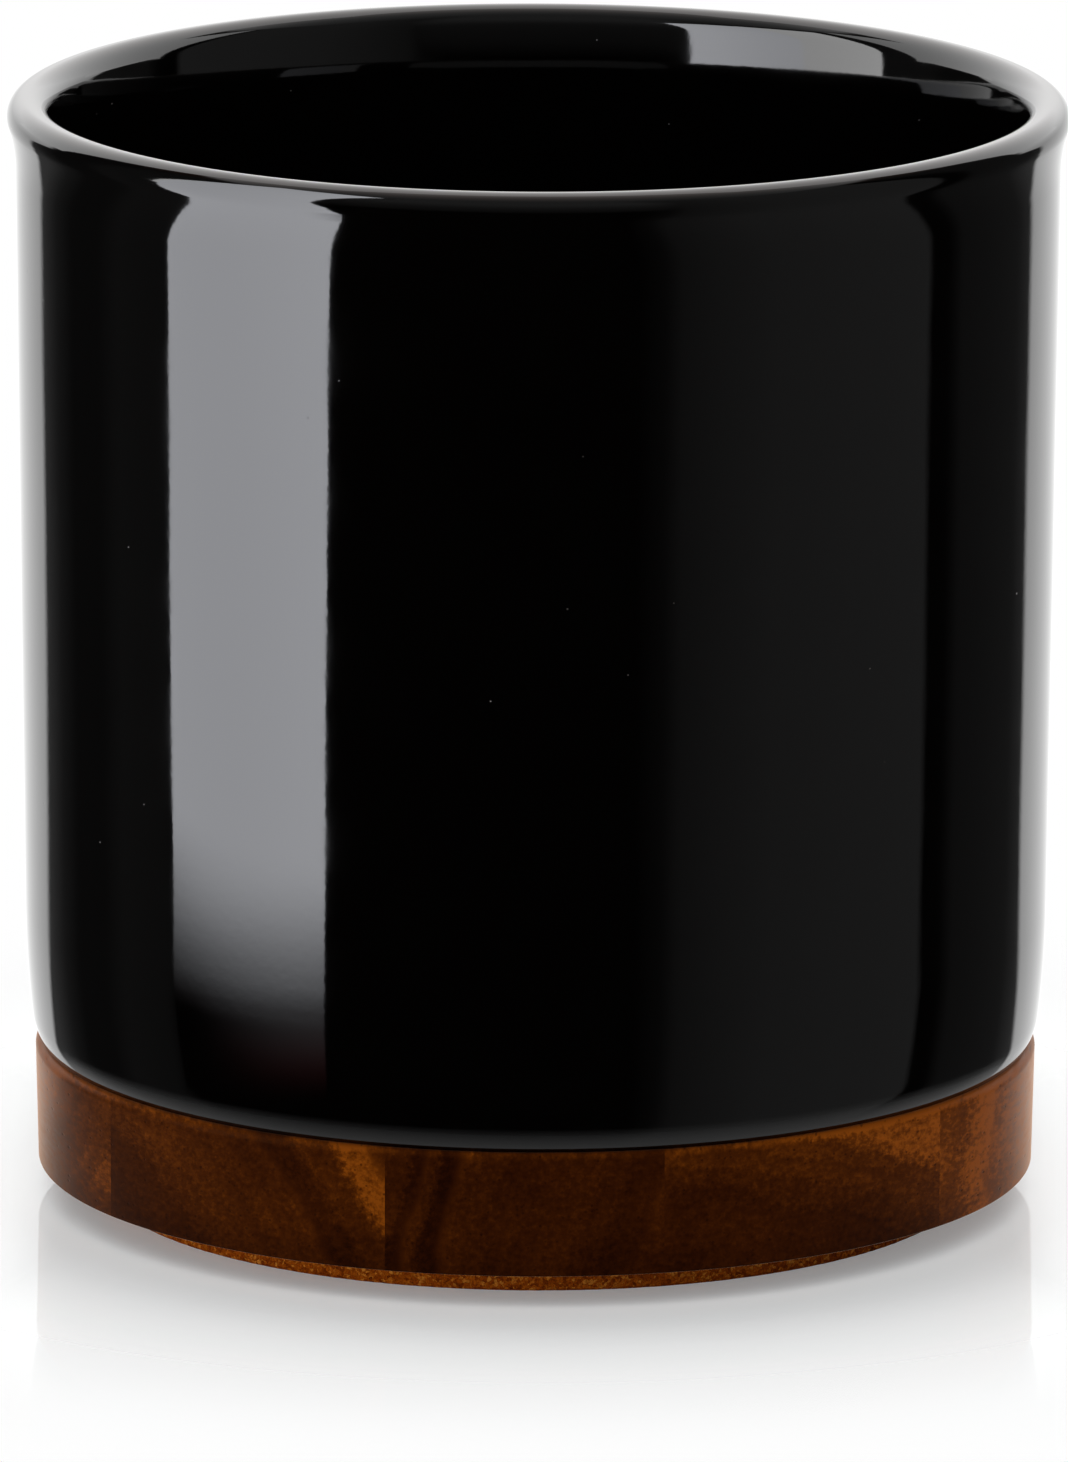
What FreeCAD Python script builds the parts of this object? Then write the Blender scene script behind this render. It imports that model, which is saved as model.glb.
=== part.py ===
import FreeCAD, Part
import math
import os
import Sketcher

# Utensil crock: a glazed stoneware pot that rests loose on a glued-up wood base with a cork pad.
# Millimetres, +Z up. The origin is the middle of the cork's underside, which rests on the counter.

SIZES = {
    # Pot: its widest radius and its own height from the foot ring to the crest of the lip
    "rim_radius": 85.0,
    "crock_height": 158.6,
    # Lip of the pot: a rolled edge that swells out of the neck, with a long flare inside it
    "lip_overhang": 1.4,
    "lip_round": 3.2,
    "neck_round": 25.0,
    "flare_width": 1.2,
    "flare_round": 38.0,
    # Wall of the pot: a straight taper, a long gentle sweep, then a heel that curls in to a small edge
    "wall_taper": 1.2,
    "wall_thickness": 7.0,
    "sweep_height": 26.6,
    "sweep_round": 175.0,
    "heel_round": 10.0,
    "heel_inset": 3.0,
    "heel_edge_round": 0.6,
    "floor_thickness": 7.0,
    "floor_corner_round": 10.0,
    # Foot ring of the pot: bare clay that drops into the seat, just clear of its floor, and centres the pot
    "foot_width": 7.0,
    "foot_recess": 2.0,
    "foot_edge_round": 0.8,
    "foot_gap": 0.4,
    # Wood base, set in under the pot's wall, slightly wider at the top, with a seat for the foot ring
    "base_inset": 1.6,
    "base_draft": 0.4,
    "base_thickness": 20.0,
    "base_top_round": 1.5,
    "base_foot_round": 0.7,
    "seat_ledge": 10.5,
    "seat_depth": 5.0,
    "seat_clearance": 0.8,
    # Plank strips that the base is glued from, front to back: the outer two as the turning left them
    "left_stave_width": 13.2,
    "right_stave_width": 16.4,
    "cut_overrun": 10.0,
    # Cork pad, glued under the base and set in from its edge
    "cork_inset": 9.9,
    "cork_thickness": 5.0,
    "cork_edge_round": 0.8,
}

# Radii and heights that pieces share, as expressions of the sheet's sizes
CREST_RADIUS = "(Sizes.rim_radius - Sizes.lip_round)"
WALL_TOP_RADIUS = "(Sizes.rim_radius - Sizes.lip_overhang)"
WALL_FOOT_RADIUS = f"({WALL_TOP_RADIUS} - Sizes.wall_taper)"
INNER_RADIUS = f"({WALL_TOP_RADIUS} - Sizes.wall_thickness)"
LIP_INNER_ROUND = f"({CREST_RADIUS} - {INNER_RADIUS} - Sizes.flare_width)"
BASE_TOP_RADIUS = f"({WALL_FOOT_RADIUS} - Sizes.base_inset)"
BASE_FOOT_RADIUS = f"({BASE_TOP_RADIUS} - Sizes.base_draft)"
SEAT_RADIUS = f"({BASE_TOP_RADIUS} - Sizes.seat_ledge)"
FOOT_RADIUS = f"({SEAT_RADIUS} - Sizes.seat_clearance)"
HEEL_EDGE_RADIUS = f"({WALL_FOOT_RADIUS} - Sizes.heel_inset)"
CORK_RADIUS = f"({BASE_FOOT_RADIUS} - Sizes.cork_inset)"
BLANK_REACH = f"({BASE_TOP_RADIUS} + Sizes.cut_overrun)"
SEAT_HEIGHT = "(Sizes.base_thickness - Sizes.seat_depth)"
FOOT_HEIGHT = "(Sizes.seat_depth - Sizes.foot_gap)"
FLOOR_HEIGHT = "(Sizes.foot_recess + Sizes.floor_thickness)"

# Whole strips of one width between the two outer ones
INNER_STAVE_COUNT = 3

# Names for the ends and the centre of a sketch edge, and for the sketch's own axes and origin
START, END, CENTRE = range(1, 4)
RADIUS_AXIS, HEIGHT_AXIS = range(-1, -3, -1)
ORIGIN = (RADIUS_AXIS, START)

# Directions in a half-section, as angles from the way out of the turning axis
OUT = 0.0
UP = math.pi / 2
IN = math.pi
DOWN = -math.pi / 2


def make_sheet(doc):
    """The sheet of driving dimensions, one named cell to a row."""
    sheet = doc.addObject("Spreadsheet::Sheet", "Sizes")
    for row, (name, value) in enumerate(SIZES.items(), start=1):
        sheet.set(f"A{row}", name)
        sheet.set(f"B{row}", str(value))
        sheet.setAlias(f"B{row}", name)
    doc.recompute()


def make_sketch(body, name, role):
    """An empty sketch on one of the body's own origin planes."""
    sketch = body.newObject("Sketcher::SketchObject", name)
    plane = next(item for item in body.Origin.OriginFeatures if item.Role == role)
    sketch.AttachmentSupport = [(plane, "")]
    sketch.MapMode = "FlatFace"
    return sketch


class Section:
    """A closed half-section on a body's XZ plane, radius to the right and height up."""

    def __init__(self, body, name):
        self.sketch = make_sketch(body, name, "XZ_Plane")

    def value(self, expression):
        """What an expression of the sheet's sizes comes to, for a first guess at where an edge lies."""
        return float(self.sketch.evalExpression(expression))

    def line(self, start, end):
        return self.sketch.addGeometry(Part.LineSegment(FreeCAD.Vector(*start, 0), FreeCAD.Vector(*end, 0)))

    def arc(self, centre, radius, first, last):
        """An arc that runs anticlockwise from the first direction to the last."""
        circle = Part.Circle(FreeCAD.Vector(*centre, 0), FreeCAD.Vector(0, 0, 1), radius)
        return self.sketch.addGeometry(Part.ArcOfCircle(circle, first, last))

    def rule(self, kind, *places):
        self.sketch.addConstraint(Sketcher.Constraint(kind, *places))

    def corner(self, first, second):
        """Two edge ends that meet at a corner, each given as an edge and the name of its end."""
        self.rule("Coincident", *first, *second)

    def smooth(self, first, second):
        """Two edge ends that run into each other without a corner."""
        self.rule("Tangent", *first, *second)

    def size(self, name, kind, places, expression):
        """A named dimension, bound to an expression of the sheet's sizes."""
        constraint = Sketcher.Constraint(kind, *places, self.value(expression))
        index = self.sketch.addConstraint(constraint)
        self.sketch.renameConstraint(index, name)
        self.sketch.setExpression("Constraints." + name, expression)

    def radius_at(self, name, place, expression):
        self.size(name, "DistanceX", (*ORIGIN, *place), expression)

    def height_at(self, name, place, expression):
        self.size(name, "DistanceY", (*ORIGIN, *place), expression)

    def revolve(self, body):
        """Turn the finished section about the height axis."""
        body.Document.recompute()
        if not self.sketch.FullyConstrained:
            raise RuntimeError(self.sketch.Label + " is not fully dimensioned")
        turned = body.newObject("PartDesign::Revolution", body.Label + "_turned")
        turned.Profile = self.sketch
        turned.ReferenceAxis = (self.sketch, ["V_Axis"])
        body.Document.recompute()
        return turned


def make_body(doc, name, height):
    """An empty body whose own zero height lies at the given height of the whole object."""
    body = doc.addObject("PartDesign::Body", name)
    body.Label = name
    body.setExpression("Placement.Base.z", height)
    return body


def round_lowest_edges(body, feature, size_name):
    """Round every ring edge that lies in the plane of the body's own zero height."""
    lowest = [f"Edge{index}" for index, edge in enumerate(feature.Shape.Edges, start=1)
              if edge.BoundBox.ZMax < Part.Precision.confusion() and edge.isClosed()]
    rounded = body.newObject("PartDesign::Fillet", body.Label + "_rounded")
    rounded.Base = (feature, lowest)
    rounded.setExpression("Radius", "Sizes." + size_name)
    body.Document.recompute()


def make_cork_pad(doc):
    body = make_body(doc, "cork_pad", "0")
    sketch = make_sketch(body, "cork_outline", "XY_Plane")
    radius = float(sketch.evalExpression(CORK_RADIUS))
    circle = sketch.addGeometry(Part.Circle(FreeCAD.Vector(), FreeCAD.Vector(0, 0, 1), radius))
    sketch.addConstraint(Sketcher.Constraint("Coincident", circle, CENTRE, *ORIGIN))
    sketch.renameConstraint(sketch.addConstraint(Sketcher.Constraint("Radius", circle, radius)), "radius")
    sketch.setExpression("Constraints.radius", CORK_RADIUS)
    disc = body.newObject("PartDesign::Pad", "cork_disc")
    disc.Profile = sketch
    disc.setExpression("Length", "Sizes.cork_thickness")
    doc.recompute()
    round_lowest_edges(body, disc, "cork_edge_round")
    return body


def make_base_blank(doc):
    """The whole turned base, before it is parted along its glue lines."""
    body = make_body(doc, "base_blank", "Sizes.cork_thickness")
    section = Section(body, "base_section")
    height, seat_height = section.value("Sizes.base_thickness"), section.value(SEAT_HEIGHT)
    foot_radius, top_radius = section.value(BASE_FOOT_RADIUS), section.value(BASE_TOP_RADIUS)
    foot_round, top_round = section.value("Sizes.base_foot_round"), section.value("Sizes.base_top_round")
    seat_radius = section.value(SEAT_RADIUS)

    under = section.line((0, 0), (foot_radius - foot_round, 0))
    foot_edge = section.arc((foot_radius - foot_round, foot_round), foot_round, DOWN, OUT)
    side = section.line((foot_radius, foot_round), (top_radius, height - top_round))
    top_edge = section.arc((top_radius - top_round, height - top_round), top_round, OUT, UP)
    top = section.line((top_radius - top_round, height), (seat_radius, height))
    seat_wall = section.line((seat_radius, height), (seat_radius, seat_height))
    seat = section.line((seat_radius, seat_height), (0, seat_height))
    axis = section.line((0, seat_height), (0, 0))

    section.corner((under, START), ORIGIN)
    section.rule("Horizontal", under)
    section.smooth((under, END), (foot_edge, START))
    section.smooth((foot_edge, END), (side, START))
    section.smooth((side, END), (top_edge, START))
    section.smooth((top_edge, END), (top, START))
    section.rule("Horizontal", top)
    section.corner((top, END), (seat_wall, START))
    section.rule("Vertical", seat_wall)
    section.corner((seat_wall, END), (seat, START))
    section.rule("Horizontal", seat)
    section.corner((seat, END), (axis, START))
    section.rule("Vertical", axis)
    section.corner((axis, END), (under, START))

    section.size("foot_round", "Radius", (foot_edge,), "Sizes.base_foot_round")
    section.size("top_round", "Radius", (top_edge,), "Sizes.base_top_round")
    section.radius_at("foot_radius", (side, START), BASE_FOOT_RADIUS)
    section.radius_at("top_radius", (side, END), BASE_TOP_RADIUS)
    section.height_at("thickness", (top, END), "Sizes.base_thickness")
    section.radius_at("seat_radius", (seat, START), SEAT_RADIUS)
    section.height_at("seat_height", (seat, START), SEAT_HEIGHT)
    section.revolve(body)
    return body


def glue_lines():
    """Places of the glue lines across the base, left to right, as expressions of the sheet's sizes."""
    first = f"(Sizes.left_stave_width - {BASE_TOP_RADIUS})"
    last = f"({BASE_TOP_RADIUS} - Sizes.right_stave_width)"
    pitch = f"({last} - {first}) / {INNER_STAVE_COUNT}"
    return [f"({first} + {step} * {pitch})" for step in range(INNER_STAVE_COUNT + 1)]


def make_staves(doc, blank):
    """Part the turned base into its plank strips, left to right, each a piece of its own."""
    edges = ["-" + BLANK_REACH, *glue_lines(), BLANK_REACH]
    staves = []
    for number, (left, right) in enumerate(zip(edges, edges[1:]), start=1):
        strip = doc.addObject("Part::Box", f"strip_{number}")
        strip.setExpression("Length", f"{right} - ({left})")
        strip.setExpression("Width", f"2 * {BLANK_REACH}")
        strip.setExpression("Height", "Sizes.base_thickness + 2 * Sizes.cut_overrun")
        strip.setExpression("Placement.Base.x", left)
        strip.setExpression("Placement.Base.y", "-" + BLANK_REACH)
        strip.setExpression("Placement.Base.z", "Sizes.cork_thickness - Sizes.cut_overrun")
        stave = doc.addObject("Part::Common", f"base_stave_{number}")
        stave.Label = f"base_stave_{number}"
        stave.Base = blank
        stave.Tool = strip
        staves.append(stave)
    doc.recompute()
    return staves


def neck_bend(section):
    """How far the neck turns out and the height where it starts, as if the wall were upright."""
    neck, lip = section.value("Sizes.neck_round"), section.value("Sizes.lip_round")
    reach = section.value(WALL_TOP_RADIUS) + neck - section.value(CREST_RADIUS)
    swell = math.acos(reach / (neck + lip))
    return swell, section.value("Sizes.crock_height") - lip - (neck + lip) * math.sin(swell)


def heel_bend(section):
    """How far the sweep falls and the heel turns, and the heel's middle, as if the wall were upright."""
    sweep, heel = section.value("Sizes.sweep_round"), section.value("Sizes.heel_round")
    edge_round = section.value("Sizes.heel_edge_round")
    sweep_centre = (section.value(WALL_FOOT_RADIUS) - sweep, section.value("Sizes.sweep_height"))
    edge_centre = (section.value(HEEL_EDGE_RADIUS), section.value(FOOT_HEIGHT) + edge_round)
    span = math.dist(sweep_centre, edge_centre)
    near, far = heel - edge_round, sweep - heel
    drop = math.asin((sweep_centre[1] - edge_centre[1]) / span)
    sweep_fall = drop - math.acos((far ** 2 + span ** 2 - near ** 2) / (2 * far * span))
    heel_centre = (sweep_centre[0] + far * math.cos(sweep_fall), sweep_centre[1] - far * math.sin(sweep_fall))
    heel_turn = math.asin((heel_centre[1] - edge_centre[1]) / near)
    return sweep_fall, heel_turn, heel_centre


def draw_foot_and_wall(section):
    """The pot's outside, from the middle of its underside out over the foot ring and up to the neck."""
    recess, foot_height = section.value("Sizes.foot_recess"), section.value(FOOT_HEIGHT)
    foot_radius = section.value(FOOT_RADIUS)
    ring_inside = foot_radius - section.value("Sizes.foot_width")
    wall_foot, wall_top = section.value(WALL_FOOT_RADIUS), section.value(WALL_TOP_RADIUS)
    heel, sweep = section.value("Sizes.heel_round"), section.value("Sizes.sweep_round")
    edge_radius, edge_round = section.value(HEEL_EDGE_RADIUS), section.value("Sizes.heel_edge_round")
    sweep_height = section.value("Sizes.sweep_height")
    _, neck_height = neck_bend(section)
    sweep_fall, heel_turn, heel_centre = heel_bend(section)

    under = section.line((0, recess), (ring_inside, recess))
    ring_wall = section.line((ring_inside, recess), (ring_inside, 0))
    ring = section.line((ring_inside, 0), (foot_radius, 0))
    foot_wall = section.line((foot_radius, 0), (foot_radius, foot_height))
    shoulder = section.line((foot_radius, foot_height), (edge_radius, foot_height))
    heel_edge = section.arc((edge_radius, foot_height + edge_round), edge_round, DOWN, -heel_turn)
    heel_curl = section.arc(heel_centre, heel, -heel_turn, -sweep_fall)
    sweep_edge = section.arc((wall_foot - sweep, sweep_height), sweep, -sweep_fall, OUT)
    wall = section.line((wall_foot, sweep_height), (wall_top, neck_height))

    section.rule("PointOnObject", under, START, HEIGHT_AXIS)
    section.rule("Horizontal", under)
    section.corner((under, END), (ring_wall, START))
    section.rule("Vertical", ring_wall)
    section.corner((ring_wall, END), (ring, START))
    section.rule("PointOnObject", ring, START, RADIUS_AXIS)
    section.rule("Horizontal", ring)
    section.corner((ring, END), (foot_wall, START))
    section.rule("Vertical", foot_wall)
    section.corner((foot_wall, END), (shoulder, START))
    section.rule("Horizontal", shoulder)
    section.smooth((shoulder, END), (heel_edge, START))
    section.smooth((heel_edge, END), (heel_curl, START))
    section.smooth((heel_curl, END), (sweep_edge, START))
    section.smooth((sweep_edge, END), (wall, START))

    section.height_at("recess", (under, END), "Sizes.foot_recess")
    section.radius_at("foot_radius", (ring, END), FOOT_RADIUS)
    section.size("foot_width", "DistanceX", (ring, START, ring, END), "Sizes.foot_width")
    section.height_at("foot_height", (foot_wall, END), FOOT_HEIGHT)
    section.size("heel_edge_round", "Radius", (heel_edge,), "Sizes.heel_edge_round")
    section.radius_at("heel_edge_radius", (heel_edge, CENTRE), HEEL_EDGE_RADIUS)
    section.size("heel_round", "Radius", (heel_curl,), "Sizes.heel_round")
    section.size("sweep_round", "Radius", (sweep_edge,), "Sizes.sweep_round")
    section.radius_at("wall_foot_radius", (wall, START), WALL_FOOT_RADIUS)
    section.height_at("sweep_height", (wall, START), "Sizes.sweep_height")
    section.radius_at("wall_top_radius", (wall, END), WALL_TOP_RADIUS)
    return under, wall


def draw_lip(section, wall):
    """The rolled lip: out of the neck, over the crest and down the flare to the inside of the wall."""
    top, crest_radius = section.value("Sizes.crock_height"), section.value(CREST_RADIUS)
    neck, lip = section.value("Sizes.neck_round"), section.value("Sizes.lip_round")
    inner_lip, inner_radius = section.value(LIP_INNER_ROUND), section.value(INNER_RADIUS)
    flare = section.value("Sizes.flare_round")
    wall_top = section.value(WALL_TOP_RADIUS)
    swell, neck_height = neck_bend(section)
    opening = math.acos((inner_radius + flare - crest_radius) / (flare - inner_lip))
    flare_height = top - inner_lip - (flare - inner_lip) * math.sin(opening)

    neck_edge = section.arc((wall_top + neck, neck_height), neck, IN - swell, IN)
    outer_edge = section.arc((crest_radius, top - lip), lip, -swell, UP)
    inner_edge = section.arc((crest_radius, top - inner_lip), inner_lip, UP, IN - opening)
    flare_edge = section.arc((inner_radius + flare, flare_height), flare, IN - opening, IN)

    section.smooth((wall, END), (neck_edge, END))
    section.smooth((neck_edge, START), (outer_edge, START))
    section.rule("Vertical", outer_edge, CENTRE, outer_edge, END)
    section.smooth((outer_edge, END), (inner_edge, START))
    section.smooth((inner_edge, END), (flare_edge, START))

    section.size("neck_round", "Radius", (neck_edge,), "Sizes.neck_round")
    section.size("lip_round", "Radius", (outer_edge,), "Sizes.lip_round")
    section.size("lip_inner_round", "Radius", (inner_edge,), LIP_INNER_ROUND)
    section.size("flare_round", "Radius", (flare_edge,), "Sizes.flare_round")
    section.radius_at("crest_radius", (outer_edge, CENTRE), CREST_RADIUS)
    section.height_at("top", (outer_edge, END), "Sizes.crock_height")
    return flare_edge, flare_height


def draw_inside(section, under, wall, flare_edge, flare_height):
    """The pot's inside, down the wall, round the corner and across the floor to the middle."""
    inner_radius, floor_height = section.value(INNER_RADIUS), section.value(FLOOR_HEIGHT)
    corner = section.value("Sizes.floor_corner_round")
    foot_inside = inner_radius - section.value("Sizes.wall_taper")

    inner_wall = section.line((inner_radius, flare_height), (foot_inside, floor_height + corner))
    corner_edge = section.arc((foot_inside - corner, floor_height + corner), corner, DOWN, OUT)
    floor = section.line((foot_inside - corner, floor_height), (0, floor_height))
    axis = section.line((0, floor_height), (0, section.value("Sizes.foot_recess")))

    section.smooth((flare_edge, END), (inner_wall, START))
    section.rule("Parallel", inner_wall, wall)
    section.smooth((inner_wall, END), (corner_edge, END))
    section.smooth((corner_edge, START), (floor, START))
    section.rule("Horizontal", floor)
    section.corner((floor, END), (axis, START))
    section.rule("Vertical", axis)
    section.corner((axis, END), (under, START))

    section.radius_at("inner_radius", (inner_wall, START), INNER_RADIUS)
    section.size("floor_corner_round", "Radius", (corner_edge,), "Sizes.floor_corner_round")
    section.height_at("floor_height", (floor, START), FLOOR_HEIGHT)


def make_crock(doc):
    body = make_body(doc, "crock", f"Sizes.cork_thickness + {SEAT_HEIGHT} + Sizes.foot_gap")
    section = Section(body, "crock_section")
    under, wall = draw_foot_and_wall(section)
    flare_edge, flare_height = draw_lip(section, wall)
    draw_inside(section, under, wall, flare_edge, flare_height)
    turned = section.revolve(body)
    round_lowest_edges(body, turned, "foot_edge_round")
    return body


def check_document(doc, pieces):
    """Stop if any object failed to compute or any piece is not one sound solid."""
    for item in doc.Objects:
        if "Invalid" in item.State or "Error" in item.State:
            raise RuntimeError(item.Label + " did not compute")
    for piece in pieces:
        shape = piece.Shape
        if shape.isNull() or not shape.isValid() or len(shape.Solids) != 1:
            raise RuntimeError(piece.Label + " is not one sound solid")


def main():
    doc = FreeCAD.newDocument("utensil_crock")
    make_sheet(doc)
    cork_pad = make_cork_pad(doc)
    staves = make_staves(doc, make_base_blank(doc))
    crock = make_crock(doc)
    pieces = [cork_pad, *staves, crock]
    check_document(doc, pieces)
    os.makedirs("parts", exist_ok=True)
    for piece in pieces:
        piece.Shape.exportStep(f"parts/{piece.Label}.step")
        box = piece.Shape.optimalBoundingBox()
        extent = f"{box.XLength:.2f} x {box.YLength:.2f} x {box.ZLength:.2f} mm"
        print(f"{piece.Label}: {extent}, from Z {box.ZMin:.2f}")


main()
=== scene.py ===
"""Looks of the utensil crock: black glazed pot, glued-up wood base and cork pad, in a white studio."""
import math

import bmesh
import bpy
from mathutils import Matrix, Vector, noise


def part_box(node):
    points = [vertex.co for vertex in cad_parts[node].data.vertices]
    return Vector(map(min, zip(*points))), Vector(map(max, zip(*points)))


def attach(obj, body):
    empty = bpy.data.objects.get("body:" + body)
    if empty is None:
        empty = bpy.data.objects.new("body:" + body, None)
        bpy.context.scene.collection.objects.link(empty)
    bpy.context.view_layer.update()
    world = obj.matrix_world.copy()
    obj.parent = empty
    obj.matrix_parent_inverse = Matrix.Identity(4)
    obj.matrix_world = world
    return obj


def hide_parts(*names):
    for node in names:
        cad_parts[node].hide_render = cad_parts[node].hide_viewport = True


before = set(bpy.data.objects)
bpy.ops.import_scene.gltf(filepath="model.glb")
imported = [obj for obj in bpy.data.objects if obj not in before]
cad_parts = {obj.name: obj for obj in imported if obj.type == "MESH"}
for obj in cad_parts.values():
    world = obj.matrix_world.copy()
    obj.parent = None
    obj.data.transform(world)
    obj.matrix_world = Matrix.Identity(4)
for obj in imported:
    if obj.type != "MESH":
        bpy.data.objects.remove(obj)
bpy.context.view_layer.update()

MM = 0.001

# Places of the pieces, read from the frame
CROCK_LOW, CROCK_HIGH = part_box("crock")
CORK_LOW, CORK_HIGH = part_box("cork_pad")
STAVE_NAMES = sorted(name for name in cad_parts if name.startswith("base_stave_"))
STAVE_BOXES = [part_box(name) for name in STAVE_NAMES]
GLUE_LINES = [high.x for low, high in STAVE_BOXES[:-1]]
BASE_LOW = min(low.z for low, high in STAVE_BOXES)
BASE_HIGH = max(high.z for low, high in STAVE_BOXES)
BASE_RADIUS = STAVE_BOXES[-1][1].x
CORK_RADIUS = CORK_HIGH.x
RIM_RADIUS = CROCK_HIGH.x

# Pot: the same section as the solid
LIP_ROUND = 3.2 * MM
LIP_OVERHANG = 1.4 * MM
NECK_ROUND = 25.0 * MM
FLARE_WIDTH = 1.2 * MM
FLARE_ROUND = 38.0 * MM
WALL_TAPER = 1.2 * MM
WALL_THICKNESS = 7.0 * MM
CREST_RADIUS = RIM_RADIUS - LIP_ROUND
INNER_RADIUS = RIM_RADIUS - LIP_OVERHANG - WALL_THICKNESS
LIP_INNER_ROUND = CREST_RADIUS - INNER_RADIUS - FLARE_WIDTH
SWEEP_HEIGHT = 26.6 * MM
SWEEP_ROUND = 175.0 * MM
HEEL_ROUND = 10.0 * MM
HEEL_INSET = 3.0 * MM
HEEL_EDGE_ROUND = 0.6 * MM
FLOOR_THICKNESS = 7.0 * MM
FLOOR_CORNER_ROUND = 10.0 * MM
FOOT_WIDTH = 7.0 * MM
FOOT_RECESS = 2.0 * MM
FOOT_EDGE_ROUND = 0.8 * MM

# Base and cork: the sections of the solids, with a crisper round at the foot of the wood
BASE_DRAFT = 0.4 * MM
BASE_TOP_ROUND = 1.5 * MM
BASE_FOOT_ROUND = 0.3 * MM
SEAT_LEDGE = 10.5 * MM
SEAT_DEPTH = 5.0 * MM
SEAT_CLEARANCE = 0.8 * MM
CORK_EDGE_ROUND = 0.8 * MM

# Turned meshes
POT_STEPS = 384
BASE_STEPS = 720
CORK_STEPS = 900
WALL_STEP = 3.0 * MM
BASE_FLAT_STEP = 8.0 * MM
BASE_LEDGE_STEP = 4.0 * MM
CORK_FOOT_STEP = 6.0 * MM
CORK_EDGE_STEP = 0.35 * MM
CORK_TOP_STEP = 10.0 * MM
ARC_STEP = math.radians(6.0)
LONG_ARC_STEP = 1.2 * MM
LEAN_STEPS = 4
SHARP_ANGLE = math.radians(32.0)
SAME_POINT = 1e-7
ON_AXIS = 1e-6

# Camera, fitted to the rim, wall and base of the photo
PHOTO_HEIGHT = 1462
CAMERA_ELEVATION = math.radians(12.84)
CAMERA_DISTANCE = 2.622
CAMERA_AIM = Vector((-0.38 * MM, 0.0, 74.79 * MM))
CAMERA_FOCAL_PIXELS = 16268.0
CAMERA_ROLL = math.radians(0.2)
CAMERA_REACH = 20.0
SENSOR = 36.0

WHITE = (1.0, 1.0, 1.0, 1.0)
NOISE_MEAN = 0.5


class Tree:
    """A node tree, filled by short calls that return output sockets."""

    def __init__(self, tree):
        self.tree = tree
        tree.nodes.clear()

    def feed(self, socket, value):
        if isinstance(value, bpy.types.NodeSocket):
            self.tree.links.new(value, socket)
        else:
            socket.default_value = value

    def add(self, kind, inputs=(), **settings):
        node = self.tree.nodes.new(kind)
        for name, value in settings.items():
            setattr(node, name, value)
        for name, value in dict(inputs).items():
            self.feed(node.inputs[name], value)
        return node

    def math(self, operation, *values):
        node = self.add("ShaderNodeMath", operation=operation)
        for socket, value in zip(node.inputs, values):
            self.feed(socket, value)
        return node.outputs[0]

    def vector(self, operation, *values):
        node = self.add("ShaderNodeVectorMath", operation=operation)
        for socket, value in zip(node.inputs, values):
            self.feed(socket, value)
        return node.outputs[0]

    def fade(self, value, low, high, start=0.0, end=1.0):
        """A smooth step from start, up to low, to end, from high on."""
        limits = {"Value": value, "From Min": low, "From Max": high, "To Min": start, "To Max": end}
        return self.add("ShaderNodeMapRange", limits, interpolation_type="SMOOTHSTEP").outputs[0]

    def band(self, value, low, high, soft):
        """One between low and high, with edges this soft outside them."""
        rise = self.fade(value, low - soft, low)
        fall = self.fade(value, high, high + soft, 1.0, 0.0)
        return self.math("MULTIPLY", rise, fall)

    def noise(self, vector, scale, detail=2.0, roughness=0.5):
        inputs = {"Vector": vector, "Scale": scale, "Detail": detail, "Roughness": roughness}
        return self.add("ShaderNodeTexNoise", inputs)

    def line_noise(self, distance, scale, detail=2.0, roughness=0.5):
        """Noise along one length."""
        inputs = {"W": distance, "Scale": scale, "Detail": detail, "Roughness": roughness}
        return self.add("ShaderNodeTexNoise", inputs, noise_dimensions="1D").outputs[0]

    def cells(self, vector, scale, feature="F1"):
        return self.add("ShaderNodeTexVoronoi", {"Vector": vector, "Scale": scale}, feature=feature)

    def ramp(self, value, stops):
        """A colour ramp of (place, colour) stops."""
        node = self.add("ShaderNodeValToRGB", {"Fac": value})
        elements = node.color_ramp.elements
        while len(elements) < len(stops):
            elements.new(1.0)
        for element, (place, colour) in zip(elements, stops):
            element.position = place
            element.color = (*colour, 1.0)
        return node.outputs[0]

    def mix(self, share, first, second, blend="MIX"):
        """Two colours mixed: the first where share is 0, the second where it is 1."""
        node = self.add("ShaderNodeMix", data_type="RGBA", blend_type=blend)
        sockets = {socket.identifier: socket for socket in node.inputs}
        self.feed(sockets["Factor_Float"], share)
        for name, colour in (("A_Color", first), ("B_Color", second)):
            linked = isinstance(colour, bpy.types.NodeSocket)
            self.feed(sockets[name], colour if linked else (*colour, 1.0))
        return next(socket for socket in node.outputs if socket.identifier == "Result_Color")

    def blend(self, share, first, second):
        """Two values mixed: the first where share is 0, the second where it is 1."""
        return self.add("ShaderNodeMix", {"Factor": share, "A": first, "B": second}).outputs[0]

    def layer(self, share, first, second):
        """Two shaders mixed: the first where share is 0, the second where it is 1."""
        return self.add("ShaderNodeMixShader", {0: share, 1: first, 2: second}).outputs[0]

    def bump(self, height, distance, strength=1.0, normal=None):
        inputs = {"Height": height, "Distance": distance, "Strength": strength}
        if normal is not None:
            inputs["Normal"] = normal
        return self.add("ShaderNodeBump", inputs).outputs[0]

    def object_place(self):
        return self.add("ShaderNodeTexCoord").outputs["Object"]

    def split(self, vector):
        return self.add("ShaderNodeSeparateXYZ", {"Vector": vector}).outputs


def new_material(name):
    material = bpy.data.materials.new(name)
    material.use_nodes = True
    return material, Tree(material.node_tree)


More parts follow.
